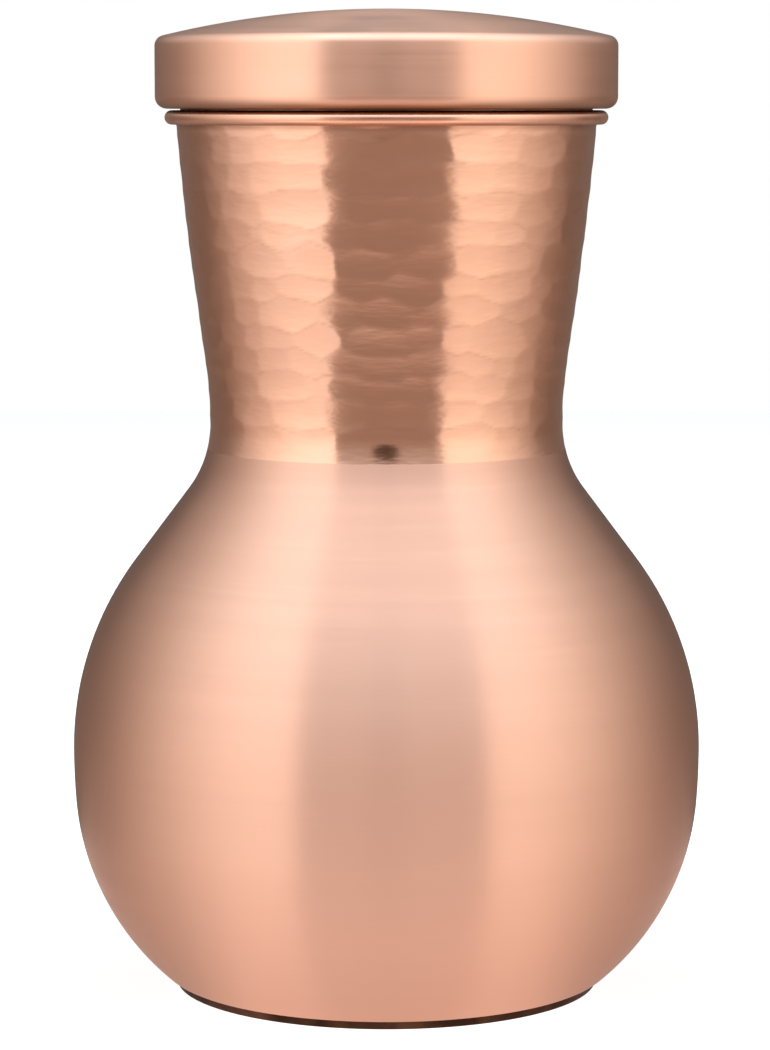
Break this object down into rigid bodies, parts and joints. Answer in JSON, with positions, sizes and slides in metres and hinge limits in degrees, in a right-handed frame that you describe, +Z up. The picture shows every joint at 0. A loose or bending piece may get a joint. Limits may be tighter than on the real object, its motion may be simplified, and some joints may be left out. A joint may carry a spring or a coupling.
{
  "type": "copper water jug",
  "caption": "Round-bellied sheet-copper water jug with a waisted, hammered neck, a wired rim, a strip foot ring and a domed lift-off lid whose collar plugs into the neck.",
  "frame": {"origin": "centre of the foot ring, on the plane that the jug stands on", "axes": "+Z up along the jug's axis of revolution; the direction of +X is free, because every piece is round about Z"},
  "size_m": [0.1336, 0.1336, 0.2072],
  "materials": {
    "satin_copper": "fine circumferential satin brushing over copper",
    "hammered_copper": "hand-hammered and polished copper",
    "lid_copper": "softly polished copper",
    "bare_copper": "plain bare copper",
    "darkened_copper": "dull, heat-darkened copper",
    "braze_metal": "dull brazing metal"
  },
  "bodies": {
    "jug": {"lower_bowl": "satin_copper", "upper_bowl": "satin_copper", "neck": "hammered_copper", "rim_wire": "bare_copper", "foot_ring": "darkened_copper", "belly_seam_braze": "braze_metal", "throat_seam_braze": "braze_metal", "foot_braze": "braze_metal"},
    "lid": {"lid_cap": "lid_copper", "lid_collar": "bare_copper", "lid_collar_braze": "braze_metal"}
  },
  "joints": [
    {"name": "lid_lift", "type": "slide", "parent": "jug", "child": "lid", "axis": [0, 0, 1], "range_m": [0, 0.08]}
  ]
}
